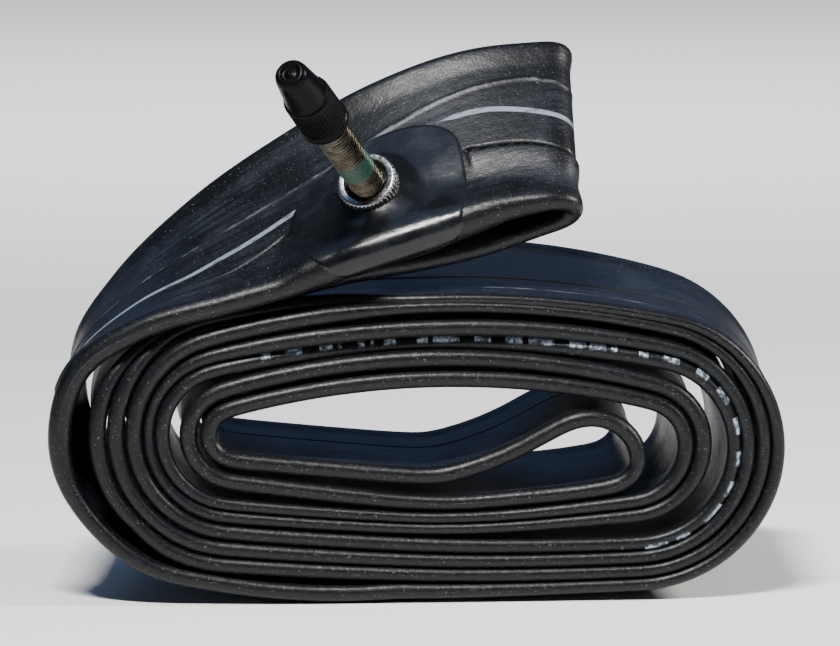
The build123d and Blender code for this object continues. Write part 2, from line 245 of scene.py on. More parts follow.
def even_ring():
    """The ring resampled at STEP: centre, across, face (outward where the valve is) and distance along."""
    points, across = ring_route()
    keep = np.r_[True, np.linalg.norm(np.diff(points, axis=0), axis=1) > 0.3]
    points, across = points[keep], across[keep]
    closed = np.vstack([points, points[:1]])
    run = lengths(closed)
    count = int(run[-1] / STEP)
    at = np.linspace(0, run[-1], count, endpoint=False)
    fine = [np.interp(at, run, np.r_[c, c[0]]) for c in np.c_[points, across].T]
    values = blur(np.column_stack(fine), 1.2)
    centre, across = values[:, :3], values[:, 3:]
    travel = np.roll(centre, -1, axis=0) - np.roll(centre, 1, axis=0)
    travel /= np.linalg.norm(travel, axis=1)[:, None]
    across /= np.linalg.norm(across, axis=1)[:, None]
    face = np.cross(travel, across)
    face /= np.linalg.norm(face, axis=1)[:, None]
    return centre, across, face, lengths(np.vstack([centre, centre[:1]]))[:-1]


CENTRE, ACROSS, FACE, ALONG = even_ring()
RING_LENGTH = ALONG[-1] + np.linalg.norm(CENTRE[0] - CENTRE[-1])
VALVE_RING = int(np.argmin(np.linalg.norm(CENTRE - VALVE_FOOT, axis=1)))
FROM_VALVE = (ALONG - ALONG[VALVE_RING] + RING_LENGTH / 2) % RING_LENGTH - RING_LENGTH / 2

# ---------------------------------------------------------------- the flattened section (mm)
# a is measured across the tube from its middle, plus towards the back; face P is the one the valve
# stands on and face Q the other; s is the distance along from the valve, plus towards the fold
WEB = 0.95                  # half the thickness between the two edges
THIN_EDGE, FULL_EDGE = 0.95, 1.5
EDGE_RUN = 4.5              # a pressed edge swells over this width
RUN_FROM, RUN_TO = -84.0, 62.0      # the part with the valve, which is a finer mesh
RUN_BLEND = 14.0
COIL_FACE, COIL_NOSE = 27, 10       # points across a face and round an edge
FACE_Q = 25                 # points across face Q, which has no fine detail
RUN_FACE, RUN_NOSE, RUN_STEP = 150, 14, 0.5
TOWARDS_EDGES = 0.06        # how much closer the points are near the edges of a face
OVERLAP = 0.6               # of the coil's ends into the run's

# the front edge of the valve run: radius of its roll, how far that is lifted, and how wide it rises
FRONT_RADIUS = ((-84, -70, -22, -15, -8, 3, 12, 20, 27, 35, 62),
                (1.6, 2.0, 2.05, 2.8, 3.3, 3.3, 3.0, 2.6, 2.1, 1.6, 1.45))
FRONT_LIFT = ((-84, -22, -15, 0, 8, 16, 26, 35, 62), (0, 0, 0.8, 1.4, 1.4, 1.1, 0.5, 0, 0))
FRONT_RISE = ((-84, -60, -20, -14, 2, 12, 22, 34, 62), (4.5, 7.0, 8.5, 13.0, 13.0, 9.0, 7.0, 5.0, 4.5))
PUFF = 1.2                  # the air left round the valve
PUFF_ALONG, PUFF_ACROSS, PUFF_AT, PUFF_FADE = (-26.0, 22.0), 7.5, -4.0, 20.0
PUFF_LOST = 0.55            # of the puff, at the front edge

# lines that the mould and the folding left on face P: s and a
CREASE_LEFT = ((-64, -59, -52, -44, -30, -23, -16.2), (-14.5, -13.0, -9.0, -8.3, -9.8, -8.2, -5.7))
CREASE_RIGHT = ((16.4, 19, 27, 33, 38, 50), (-2.4, -2.8, -4.0, -6.3, -8.0, -8.6))
CREASE_DEPTH, CREASE_WIDTH, CREASE_LIP = 1.3, 0.3, 0.45
MOULD_LINE = ((-84, -60, -30, -12, 2, 14, 27, 33, 38, 62),
              (1.5, 2.0, 3.0, 4.6, 7.2, 9.4, 10.6, 9.1, 7.6, 7.4))
MOULD_HEIGHT, MOULD_WIDTH = 0.16, 0.35
STRIPE_LEFT = ((-70, -59, -45, -37, -30, -15.5, -11.5), (-7.4, -6.5, -5.5, -5.4, -4.2, -1.5, -0.4))
STRIPE_RIGHT = ((14, 20, 27, 33, 38, 46), (5.4, 5.1, 3.6, 1.4, -0.4, -1.0))
# grooves on the coil's faces, coloured near black as painted shade like the creases, and the coil's light
# mould line
COIL_DARK = (((-330, -200), (-7.0, -7.0)), ((790, 900), (5.0, 5.0)), ((-900, -800), (5.0, 5.0)))
COIL_LIGHT = ((-330, -200), (-13.5, -13.5))
ABSENT = 30.0               # stands for the distance to a line that isn't there
TAPER = 3.0                 # how far from its end a drawn line starts to narrow


OWN_LAYER = 9.0             # rings nearer than this along the tube belong to the same layer
FAR = 99.0


def nearest_layer(side):
    """Distance from each ring's edge to the nearest other layer's edge."""
    edge = CENTRE + side * (HALF - FULL_EDGE) * ACROSS
    gap = np.linalg.norm(edge[:, None, :] - edge[None, :, :], axis=2)
    apart = np.abs(ALONG[:, None] - ALONG[None, :])
    apart = np.minimum(apart, RING_LENGTH - apart)
    gap[apart < OWN_LAYER] = FAR
    return gap.min(1)


def edge_sizes(side):
    """Radius of the rounded edge on one side at each ring, as far as the next layer leaves it room."""
    radius = np.clip(nearest_layer(side) / 2 - 0.02, THIN_EDGE, FULL_EDGE)
    return blur(radius[:, None], 3)[:, 0]


ORDER = np.argsort(FROM_VALVE)
SORTED = np.c_[CENTRE, ACROSS, FACE, edge_sizes(-1), edge_sizes(1)][ORDER]
PLACES = FROM_VALVE[ORDER]
TRIPLE_PLACES = np.r_[PLACES - RING_LENGTH, PLACES, PLACES + RING_LENGTH]
TRIPLE = np.vstack([SORTED] * 3)


def ring_values(s):
    """Centre, across, face, front and back edge radius at those distances from the valve."""
    values = np.column_stack([round_curve(s, TRIPLE_PLACES, column) for column in TRIPLE.T])
    return values[:, :3], values[:, 3:6], values[:, 6:9], values[:, 9:10], values[:, 10:11]


def line_at(s, knots, fade=2.5):
    """Where a line is at s, and how strong it is: it fades out beyond its ends."""
    strength = smooth((s - knots[0][0]) / fade) * smooth((knots[0][-1] - s) / fade)
    return easy(np.clip(s, knots[0][0], knots[0][-1]), *knots), strength


def face_columns(front, back, count):
    """Where the points across a flat face are, from back to front, and their distance from the front edge."""
    u = np.linspace(0, 1, count)[None, :]
    a = (HALF - back) - (u - TOWARDS_EDGES * np.sin(tau * u)) * (WIDTH - back - front)
    return a, a + HALF - front


def near_edge(distance):
    return smooth((EDGE_RUN - distance) / EDGE_RUN)


def section(s, front, back, face_points, nose_points, creased):
    """(a, h) of every point round the section at s: face P, front nose, face Q, back nose."""
    s = s[:, None]
    in_run = smooth((s - RUN_FROM) / RUN_BLEND) * smooth((RUN_TO - s) / RUN_BLEND)
    inside = np.clip(s, RUN_FROM, RUN_TO)
    front = front + (easy(inside, *FRONT_RADIUS) - front) * in_run
    lift = easy(inside, *FRONT_LIFT) * in_run
    rise = EDGE_RUN + (easy(inside, *FRONT_RISE) - EDGE_RUN) * in_run

    a, from_front = face_columns(front, back, face_points)
    near_front = smooth((rise - from_front) / rise)
    h_p = WEB + (front + lift - WEB) * near_front + (back - WEB) * near_edge(HALF - back - a)
    a_q, from_front_q = face_columns(front, back, FACE_Q)
    h_q = (WEB + (front - lift - WEB) * near_edge(from_front_q) + (back - WEB) * near_edge(HALF - back - a_q))

    puffed = smooth((s - PUFF_ALONG[0]) / PUFF_FADE) * smooth((PUFF_ALONG[1] - s) / PUFF_FADE)
    h_p = h_p + PUFF * puffed * np.exp(-((a - PUFF_AT) / PUFF_ACROSS) ** 2) * (1 - PUFF_LOST * near_front)
    sides = smooth(from_front / 1.5)
    for knots in (CREASE_LEFT, CREASE_RIGHT) if creased else ():
        at, strength = line_at(s, knots, 1.2)
        dent = np.exp(-((a - at) / CREASE_WIDTH) ** 2)
        lip = smooth((at + 0.2 - a) / 0.8) * smooth((a - at + 6.0) / 5.0)
        h_p = h_p + strength * sides * (CREASE_LIP * lip - CREASE_DEPTH * dent)
    at, strength = line_at(s, MOULD_LINE)
    h_p = h_p + MOULD_HEIGHT * strength * in_run * np.exp(-((a - at) / MOULD_WIDTH) ** 2)

    t = np.linspace(0, pi, nose_points + 2)[None, 1:-1]
    front_a, front_h = -(HALF - front) - front * np.sin(t), lift + front * np.cos(t)
    back_a, back_h = (HALF - back) + back * np.sin(t), -back * np.cos(t)
    return np.hstack([a, front_a, a_q[:, ::-1], back_a]), np.hstack([h_p, front_h, -h_q[:, ::-1], back_h])


def surface(s, face_points, nose_points, creased=True):
    """Points of the tube's surface at those s, with their a and h."""
    centre, across, face, front, back = ring_values(s)
    a, h = section(s, front, back, face_points, nose_points, creased)
    return centre[:, None] + a[..., None] * across[:, None] + h[..., None] * face[:, None], a, h


def add_values(mesh, **columns):
    """Numbers on the mesh's points, which the materials read."""
    for name, values in columns.items():
        layer = mesh.attributes.new(name, "FLOAT", "POINT")
        layer.data.foreach_set("value", np.ascontiguousarray(values, dtype=np.float32).ravel())


def new_piece(name, points, faces, body, material_slot, *nodes):
    """A smooth-shaded piece from points in mm."""
    mesh = bpy.data.meshes.new(name)
    mesh.from_pydata((points.reshape(-1, 3) * MM).tolist(), [], faces)
    mesh.shade_smooth()
    piece = bpy.data.objects.new(name, mesh)
    bpy.context.scene.collection.objects.link(piece)
    if nodes:
        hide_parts(*nodes)
    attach(piece, body)
    return piece


def grid_faces(rows, columns):
    """Quads of a grid of points whose last column meets the first."""
    index = np.arange(rows * columns).reshape(rows, columns)
    index = np.hstack([index, index[:, :1]])
    corners = index[:-1, :-1], index[1:, :-1], index[1:, 1:], index[:-1, 1:]
    return np.stack(corners, axis=-1).reshape(-1, 4).tolist()


def distance_to(lines, s, a, h):
    """How far each point of face P is from the lines along the tube, which taper at their ends."""
    distance = np.full(a.shape, ABSENT)
    for knots in lines:
        at, strength = line_at(s[:, None], knots, TAPER)
        within = (s[:, None] >= knots[0][0]) & (s[:, None] <= knots[0][-1])
        distance = np.where(within, (a - at) / np.maximum(strength, 0.02), distance)
    return np.where(h > 0, distance, ABSENT)


def build_strip(name, s, face_points, nose_points, node):
    points, a, h = surface(s, face_points, nose_points)
    piece = new_piece(name, points, grid_faces(*a.shape), "tube", "butyl", node)
    lines = {"stripe": (STRIPE_LEFT, STRIPE_RIGHT), "crease_shade": (CREASE_LEFT, CREASE_RIGHT, *COIL_DARK),
             "mould": (MOULD_LINE, COIL_LIGHT)}
    around = (s + RING_LENGTH / 2) % RING_LENGTH - RING_LENGTH / 2
    add_values(piece.data, along=np.repeat(around[:, None], a.shape[1], 1), across=a, up=h,
               **{line: distance_to(knots, around, a, h) for line, knots in lines.items()})
    return piece


run_s = np.linspace(RUN_FROM, RUN_TO, int((RUN_TO - RUN_FROM) / RUN_STEP) + 1)
coil_count = int((RING_LENGTH - RUN_TO + RUN_FROM) / STEP)
coil_s = np.linspace(RUN_TO - OVERLAP, RUN_FROM + OVERLAP + RING_LENGTH, coil_count)
tube_run = build_strip("tube_valve_run_skin", run_s, RUN_FACE, RUN_NOSE, "tube_valve_run")
tube_coil = build_strip("tube_coil_skin", coil_s, COIL_FACE, COIL_NOSE, "tube_coil")

# ---------------------------------------------------------------- the moulded patch round the valve
PATCH_HALF = 16.3           # along the tube
PATCH_BACK, PATCH_FRONT = 11.0, 23.0    # across from the valve; the front goes round the edge
PATCH_SKEW, PATCH_SKEW_OVER = 0.2, 12.0     # the oval leans, less and less towards the front
PATCH_SHIFT, PATCH_SHIFT_OVER = 0.6, 15.0
PATCH_T, PATCH_SUNK = 0.12, 0.3
PATCH_HOLE, PATCH_TUCK, PATCH_RIM = 0.17, 1.012, 0.04    # of its radius: round the stem, tucked in, rounded
CONE_TOP, CONE_REACH, CONE_FLAT, CONE_POWER = 1.55, 9.5, 4.2, 1.6
SPOKES, HOOPS = 144, 64
OUTLINE_FACE, OUTLINE_NOSE, OUTLINE_UNDER = 160, 40, 25     # points round the section, from the back edge
SLOPE_STEP = 0.4            # on each side of a point, to find its slope
VALVE_A = float((VALVE_FOOT - CENTRE[VALVE_RING]) @ ACROSS[VALVE_RING])


def outline_points(s_values, distances):
    """Surface points and their direction forward at those s, that far round the section from the valve."""
    points, a, _ = surface(s_values, OUTLINE_FACE, OUTLINE_NOSE, creased=False)
    places, leads = [], []
    for line, a_row, distance in zip(points[:, :OUTLINE_FACE + OUTLINE_NOSE + OUTLINE_UNDER], a, distances):
        run = lengths(line)
        at = np.interp(-VALVE_A, -a_row[:OUTLINE_FACE], run[:OUTLINE_FACE]) + distance
        behind, place, ahead = (np.array([np.interp(at + step, run, column) for column in line.T])
                                for step in (-SLOPE_STEP, 0.0, SLOPE_STEP))
        places.append(place)
        leads.append(ahead - behind)
    return np.array(places), np.array(leads)


def build_patch():
    """A thin shell on the tube that rises as a cone to the foot of the valve."""
    angle = np.linspace(0, tau, SPOKES, endpoint=False)
    radius = np.r_[np.linspace(PATCH_HOLE, 1.0, HOOPS), PATCH_TUCK]
    r, t = np.meshgrid(radius, angle, indexing="ij")
    s = PATCH_HALF * r * np.cos(t)
    forward = r * np.sin(t)
    forward = forward * np.where(forward > 0, PATCH_FRONT, PATCH_BACK)
    s = s - PATCH_SHIFT * smooth(forward / PATCH_SHIFT_OVER)
    forward = forward - PATCH_SKEW * s * smooth(1 - forward / PATCH_SKEW_OVER)
    place, lead = outline_points(s.ravel(), forward.ravel())
    _, across, face, _, _ = ring_values(s.ravel())
    normal = np.cross(lead, np.cross(across, face))
    normal *= np.sign(normal[0] @ VALVE_AXIS)
    normal /= np.linalg.norm(normal, axis=1)[:, None]
    from_foot = place - VALVE_FOOT
    from_axis = np.linalg.norm(from_foot - (from_foot @ VALVE_AXIS)[:, None] * VALVE_AXIS, axis=1)
    cone = CONE_TOP * smooth((CONE_REACH - from_axis) / (CONE_REACH - CONE_FLAT)) ** CONE_POWER
    rim = smooth((1.0 - r.ravel()) / PATCH_RIM)
    lift = PATCH_T * rim + cone - PATCH_SUNK * (r.ravel() > 1.0)
    points = place + lift[:, None] * normal
    faces = grid_faces(len(radius), SPOKES)
    return new_piece("valve_patch", points, faces, "tube", "valve_rubber", "valve_pad")


patch = build_patch()

# ---------------------------------------------------------------- turned pieces of the valve
PITCH, THREAD_FADE = 0.8, 0.8
SIDE_DIR = np.cross(VALVE_AXIS, [0.0, 0.0, 1.0])
SIDE_DIR /= np.linalg.norm(SIDE_DIR)
OTHER_DIR = np.cross(VALVE_AXIS, SIDE_DIR)


def turned(name, rows, count, body, material_slot, node, shape, crisp=True):
    """A ring turned on the valve's axis from (radius, height) rows, whose radii shape() changes."""
    angle = np.linspace(0, tau, count, endpoint=False)[None, :]
    radius = np.array([r for r, _ in rows])[:, None] + 0 * angle
    height = np.array([h for _, h in rows])[:, None] + 0 * angle
    radius = shape(radius, height, angle)
    outward = np.cos(angle)[..., None] * SIDE_DIR + np.sin(angle)[..., None] * OTHER_DIR
    points = VALVE_FOOT + height[..., None] * VALVE_AXIS + radius[..., None] * outward
    index = np.arange(len(rows) * count).reshape(len(rows), count)
    index = np.hstack([index, index[:, :1]])
    index = np.vstack([index, index[:1]])
    corners = index[:-1, :-1], index[:-1, 1:], index[1:, 1:], index[1:, :-1]
    quads = np.stack(corners, axis=-1).reshape(-1, 4).tolist()
    piece = new_piece(name, points, quads, body, material_slot, node)
    add_values(piece.data, height=height, turned_r=radius)
    if crisp:
        piece.modifiers.new("edges", "WEIGHTED_NORMAL").keep_sharp = True
    return piece


def thread(radius, depth, pitch, low, high):
    """Shape of a right-handed thread between two heights."""
    def shape(r, h, t):
        ridge = 0.5 - 0.5 * np.cos(tau * h / pitch - t)
        on = smooth((h - low) / THREAD_FADE) * smooth((high - h) / THREAD_FADE) * (r > radius - 0.01)
        return r - depth * on * (1 - ridge)
    return shape


def climb(radius, low, high, step):
    """Rows up a cylinder."""
    return [(radius, h) for h in np.arange(low, high, step)]


STEM_LOW, FLANGE_LOW, FLANGE_HIGH, THREAD_LOW = 0.2, 1.7, 2.5, 2.6
MOUTH_LOW, STEM_HIGH, SEAT = 26.8, 34.0, 25.0
STEM_R, BORE_R, FLANGE_R, MOUTH_R, CORE_R = 3.0, 1.5, 5.5, 2.6, 2.1
THREAD_DEPTH, THREAD_ROWS = 0.38, 16        # rows to a turn
MOUTH_DEPTH, MOUTH_PITCH, MOUTH_ROW = 0.25, 0.6, 0.1
main_thread = thread(STEM_R, THREAD_DEPTH, PITCH, THREAD_LOW, MOUTH_LOW)
mouth_thread = thread(MOUTH_R, MOUTH_DEPTH, MOUTH_PITCH, MOUTH_LOW + 1.0, STEM_HIGH - 0.5)


def stem_shape(r, h, t):
    return np.where(h <= MOUTH_LOW, main_thread(r, h, t), mouth_thread(r, h, t))


stem_rows = [
    (BORE_R, STEM_LOW), (STEM_R, STEM_LOW),
    (STEM_R, FLANGE_LOW), (FLANGE_R, FLANGE_LOW), (FLANGE_R, FLANGE_HIGH), (STEM_R, FLANGE_HIGH),
    *climb(STEM_R, THREAD_LOW, MOUTH_LOW, PITCH / THREAD_ROWS),
    (MOUTH_R, MOUTH_LOW + 0.4), *climb(MOUTH_R, MOUTH_LOW + 0.5, STEM_HIGH - 0.4, MOUTH_ROW),
    (MOUTH_R - 0.05, STEM_HIGH - 0.12), (MOUTH_R - 0.25, STEM_HIGH),
    (CORE_R, STEM_HIGH), (CORE_R, SEAT), (BORE_R, SEAT)]
stem = turned("valve_stem_threaded", stem_rows, 128, "tube", "nickel", "valve_stem", stem_shape, crisp=False)

NUT_LOW, NUT_HIGH, NUT_R = 3.9, 6.9, 5.2
NUT_TEETH, NUT_TOOTH = 44, 0.2
NUT_BORE_R, COUNTERSINK_R = 3.07, 3.85
TOOTH_COLUMNS = 6           # points round a tooth of the knurling


def nut_shape(r, h, t):
    teeth = (r > NUT_R - 0.3) * smooth((h - NUT_LOW) / 0.3) * smooth((NUT_HIGH - h) / 0.3)
    return r - NUT_TOOTH * teeth * (0.5 + 0.5 * np.cos(NUT_TEETH * t)) ** 1.5


nut_low_edge = ((0.45, 0), (0.3, 0.05), (0.05, 0.3), (0, 0.5), (0, 1.5))      # in from the rim, up
nut_high_edge = ((0, 0.5), (0.05, 0.28), (0.25, 0.06), (0.4, 0), (0.55, 0))   # in from the rim, down
nut_rows = [
    (NUT_BORE_R, NUT_LOW),
    *((NUT_R - inset, NUT_LOW + up) for inset, up in nut_low_edge),
    *((NUT_R - inset, NUT_HIGH - down) for inset, down in nut_high_edge),
    (COUNTERSINK_R + 0.12, NUT_HIGH), (COUNTERSINK_R, NUT_HIGH - 0.03), (3.5, NUT_HIGH - 0.55),
    (NUT_BORE_R + 0.01, NUT_HIGH - 0.95), (NUT_BORE_R, NUT_HIGH - 1.1)]
nut_columns = NUT_TEETH * TOOTH_COLUMNS
nut = turned("rim_nut_knurled", nut_rows, nut_columns, "rim_nut", "nickel", "rim_nut", nut_shape)

CAP_LOW, COLLAR_LOW, COLLAR_HIGH = 27.8, 29.2, 37.0
CAP_R, TAPER_R = 4.3, 3.6
CAP_TEETH, CAP_TOOTH, KNURLED_FROM_R = 40, 0.12, 3.7


def cap_shape(r, h, t):
    on = smooth((h - COLLAR_LOW) / 0.25) * smooth((COLLAR_HIGH + 0.25 - h) / 0.2) * (r > KNURLED_FROM_R)
    return r - CAP_TOOTH * on * (0.5 + 0.5 * np.cos(CAP_TEETH * t)) ** 1.3


cap_ring = [
    (2.95, CAP_LOW + 0.05), (3.1, CAP_LOW), (4.02, CAP_LOW), (4.2, CAP_LOW + 0.06),
    (CAP_R, CAP_LOW + 0.25), (CAP_R, CAP_LOW + 0.95), (4.22, CAP_LOW + 1.14), (4.1, CAP_LOW + 1.22)]
cap_collar = [
    (4.08, COLLAR_LOW), (4.12, COLLAR_LOW + 0.3), (4.12, 32.0), (4.1, 34.5), (4.08, COLLAR_HIGH - 0.4),
    (4.05, COLLAR_HIGH - 0.1), (3.95, COLLAR_HIGH + 0.05), (3.72, COLLAR_HIGH + 0.1)]
cap_taper = [
    (TAPER_R + 0.03, COLLAR_HIGH + 0.14), (TAPER_R - 0.01, COLLAR_HIGH + 0.35), (3.42, 39.2), (3.16, 41.3),
    (2.92, 43.3), (2.82, 44.0), (2.68, 44.55), (2.42, 44.95), (2.12, 45.14), (1.88, 45.2)]
cap_dimple = [
    (1.72, 45.18), (1.6, 45.05), (1.5, 44.8), (1.3, 44.68), (0.7, 44.72), (0.45, 44.9), (0.02, 44.95)]
cap_inside = [(0.02, 43.4), (1.2, 43.0), (2.3, 40.6), (2.35, 34.8), (2.66, 34.4), (2.66, CAP_LOW + 0.4)]
cap = turned("dust_cap_moulded", cap_ring + cap_collar + cap_taper + cap_dimple + cap_inside,
             CAP_TEETH * TOOTH_COLUMNS, "dust_cap", "cap_plastic", "dust_cap", cap_shape)


# ---------------------------------------------------------------- materials
class Shader:
    """A Principled material with short calls for the nodes these materials are made of."""

    def __init__(self, name, roughness, metallic=0.0, specular=0.5):
        self.material = bpy.data.materials.new(name)
        self.material.use_nodes = True
        self.nodes, self.links = self.material.node_tree.nodes, self.material.node_tree.links
        self.surface = self.nodes["Principled BSDF"]
        self.surface.inputs["Roughness"].default_value = roughness
        self.surface.inputs["Metallic"].default_value = metallic
        self.surface.inputs["Specular IOR Level"].default_value = specular

    def node(self, kind, **inputs):
        made = self.nodes.new(kind)
        for key, value in inputs.items():
            self.feed(made.inputs[key.replace("_", " ")], value)
        return made

    def feed(self, socket, value):
        if hasattr(value, "is_output"):
            self.links.new(value, socket)
        elif isinstance(value, tuple) and len(value) == 3 and socket.type == "RGBA":
            socket.default_value = (*value, 1)
        else:
            socket.default_value = value

    def math(self, operation, a, b=0.0, c=0.0, clamp=False):
        made = self.nodes.new("ShaderNodeMath")
        made.operation, made.use_clamp = operation, clamp
        for socket, value in zip(made.inputs, (a, b, c)):
            self.feed(socket, value)
        return made.outputs[0]

    def value(self, name):
        made = self.nodes.new("ShaderNodeAttribute")
        made.attribute_name = name
        return made.outputs["Fac"]

    def place(self):
        """Position on the object, in mm."""
        made = self.nodes.new("ShaderNodeVectorMath")
        made.operation = "MULTIPLY"
        self.feed(made.inputs[0], self.nodes.new("ShaderNodeTexCoord").outputs["Object"])
        made.inputs[1].default_value = (1 / MM, 1 / MM, 1 / MM)
        return made.outputs[0]

    def strip_place(self, along, across, depth=1.0):
        """Position along and across the tube, in mm, stretched."""
        made = self.nodes.new("ShaderNodeCombineXYZ")
        for socket, (name, factor) in zip(made.inputs, (("along", along), ("across", across), ("up", depth))):
            self.feed(socket, self.math("MULTIPLY", self.value(name), factor))
        return made.outputs[0]

    def noise(self, at, scale, detail=3.0, roughness=0.55):
        made = self.node("ShaderNodeTexNoise", Vector=at, Scale=scale, Detail=detail, Roughness=roughness)
        return made.outputs["Fac"]

    def ramp(self, value, low, high, to_low=0.0, to_high=1.0):
        made = self.nodes.new("ShaderNodeMapRange")
        made.interpolation_type = "SMOOTHSTEP"
        for key, number in zip(("Value", "From Min", "From Max", "To Min", "To Max"),
                               (value, low, high, to_low, to_high)):
            self.feed(made.inputs[key], number)
        return made.outputs[0]

    def line(self, distance, half, soft):
        """1 on a line where that distance is 0, and 0 away from it."""
        return self.ramp(self.math("ABSOLUTE", distance), half, half + soft, 1.0, 0.0)

    def mix(self, amount, a, b):
        made = self.nodes.new("ShaderNodeMix")
        made.data_type = "RGBA"
        for socket, value in ((made.inputs[0], amount), (made.inputs[6], a), (made.inputs[7], b)):
            self.feed(socket, value)
        return made.outputs[2]

    def color(self, value):
        self.feed(self.surface.inputs["Base Color"], value)

    def roughness(self, value):
        self.feed(self.surface.inputs["Roughness"], value)

    def bump(self, height, distance_mm, strength=1.0):
        made = self.node("ShaderNodeBump", Height=height, Strength=strength, Distance=distance_mm * MM)
        self.feed(self.surface.inputs["Normal"], made.outputs[0])


def dress(obj, shader):
    obj.data.materials.clear()
    obj.data.materials.append(shader.material)


# colours of the tube: bare rubber, its dusty bloom with a painted bluish sky sheen, specks, painted stripe,
# mould line, painted shade in the creases, print
RUBBER, BLOOM_AND_SKY_SHEEN = (0.0032, 0.0036, 0.0048), (0.017, 0.0205, 0.03)
SPECK, STRIPE_PAINT = (0.16, 0.17, 0.18), (0.2, 0.235, 0.28)
MOULD_TONE, CREASE_SHADE = (0.13, 0.14, 0.165), (0.0008, 0.0008, 0.0009)
WHITE_PRINT = (0.42, 0.5, 0.6)
PRINT_FROM, PRINT_TO = 494.0, 612.0     # the meaningless worn bars run this far from the valve
PRINT_BEAT = 5.3                        # from one bar to the next
PRINT_IN, PRINT_HALF = 2.1, 1.9         # middle of the bars in from the front edge, and half their height


def butyl_shader():
    """Dusty butyl with painted sky sheen on its faces, its painted stripe, mould line, painted shade in its
    creases and worn printed bars.
    """
    shade = Shader("butyl_dusty", 0.42, specular=0.25)
    along, across, up = (shade.value(n) for n in ("along", "across", "up"))
    grain = shade.noise(shade.place(), 2.2, 4, 0.65)
    cloud = shade.noise(shade.place(), 0.11, 4, 0.6)
    drawn = shade.noise(shade.strip_place(0.02, 0.9), 1.0, 4, 0.6)
    crossed = shade.noise(shade.strip_place(0.33, 0.035, 0.05), 1.0, 3, 0.55)
    specks = shade.ramp(shade.noise(shade.place(), 3.4, 1, 0.4), 0.68, 0.76)
    scuffs = shade.ramp(crossed, 0.63, 0.8)
    # dust mixed with painted sky sheen: a bluish tone laid over the faces and kept off the edges
    dust_and_sheen = shade.math("MULTIPLY", shade.ramp(cloud, 0.38, 0.7), shade.ramp(drawn, 0.3, 0.72), clamp=True)
    dust_and_sheen = shade.math("ADD", dust_and_sheen, shade.math("MULTIPLY", scuffs, 0.45), clamp=True)
    on_face = shade.ramp(shade.math("ABSOLUTE", across), HALF - 4.0, HALF - 1.0, 1.0, 0.12)
    dust_and_sheen = shade.math("MULTIPLY", dust_and_sheen, on_face)
    base = shade.mix(dust_and_sheen, RUBBER, BLOOM_AND_SKY_SHEEN)
    base = shade.mix(shade.math("MULTIPLY", specks, 0.5), base, SPECK)

    stripe_break = shade.ramp(shade.noise(shade.strip_place(0.35, 1.5), 1.0, 3), 0.3, 0.5, 0.35, 1.0)
    stripe = shade.math("MULTIPLY", shade.line(shade.value("stripe"), 0.42, 0.22), stripe_break)
    base = shade.mix(shade.math("MULTIPLY", stripe, 0.85), base, STRIPE_PAINT)
    mould_break = shade.ramp(shade.noise(shade.strip_place(0.25, 0.5), 1.0, 3), 0.4, 0.62)
    mould = shade.math("MULTIPLY", shade.line(shade.value("mould"), 0.12, 0.3), mould_break)
    base = shade.mix(shade.math("MULTIPLY", mould, 0.6), base, MOULD_TONE)
    # painted shade: the creases and the coil's grooves are coloured near black
    crease_shade = shade.line(shade.value("crease_shade"), 0.34, 0.3)
    base = shade.mix(crease_shade, base, CREASE_SHADE)

    inside = shade.math("MULTIPLY", shade.ramp(along, PRINT_FROM, PRINT_FROM + 1.0),
                        shade.ramp(along, PRINT_TO - 1.0, PRINT_TO, 1.0, 0.0))
    beat = shade.math("FRACT", shade.math("MULTIPLY", along, 1 / PRINT_BEAT))
    wide = shade.ramp(shade.noise(shade.strip_place(0.3, 0, 0), 1.0, 1), 0.3, 0.7, 0.1, 0.95)
    dashes = shade.math("LESS_THAN", beat, wide)
    band = shade.line(shade.math("ADD", across, HALF - PRINT_IN), PRINT_HALF, 0.2)
    worn = shade.ramp(shade.noise(shade.place(), 1.1, 3), 0.4, 0.6, 0.1, 0.9)
    mark = shade.math("MULTIPLY", shade.math("MULTIPLY", inside, dashes), shade.math("MULTIPLY", band, worn))
    mark = shade.math("MULTIPLY", mark, shade.math("LESS_THAN", up, 0.0))
    base = shade.mix(mark, base, WHITE_PRINT)
    shade.color(base)

    rough = shade.ramp(grain, 0.3, 0.7, 0.32, 0.44)
    rough = shade.math("ADD", rough, shade.math("MULTIPLY", dust_and_sheen, 0.14))
    rough = shade.math("ADD", rough, shade.math("MULTIPLY", crease_shade, 0.6), clamp=True)
    shade.roughness(rough)
    dimples = shade.noise(shade.place(), 0.55, 3)
    relief = shade.math("ADD", shade.math("MULTIPLY", grain, 0.35), shade.math("MULTIPLY", dimples, 1.2))
    relief = shade.math("ADD", relief, shade.math("MULTIPLY", drawn, 0.8))
    relief = shade.math("SUBTRACT", relief, crease_shade)
    shade.bump(relief, 0.09, 0.8)
    return shade


PATCH_DARK, PATCH_LIGHT, PATCH_SPECK = (0.004, 0.0045, 0.0056), (0.008, 0.0092, 0.012), (0.11, 0.12, 0.13)


def patch_shader():
    """Smoother moulded rubber with a little dust."""
    shade = Shader("valve_patch_rubber", 0.3, specular=0.34)
    cloud = shade.noise(shade.place(), 0.16, 4, 0.6)
    grain = shade.noise(shade.place(), 2.0, 3, 0.6)
    specks = shade.ramp(shade.noise(shade.place(), 3.0, 1, 0.4), 0.72, 0.8)
    base = shade.mix(shade.ramp(cloud, 0.4, 0.7), PATCH_DARK, PATCH_LIGHT)
    base = shade.mix(shade.math("MULTIPLY", specks, 0.4), base, PATCH_SPECK)
    shade.color(base)
    shade.roughness(shade.ramp(cloud, 0.3, 0.7, 0.2, 0.3))
    relief = shade.math("ADD", shade.math("MULTIPLY", grain, 0.2), shade.noise(shade.place(), 0.35, 3))
    shade.bump(relief, 0.12, 0.7)
    return shade


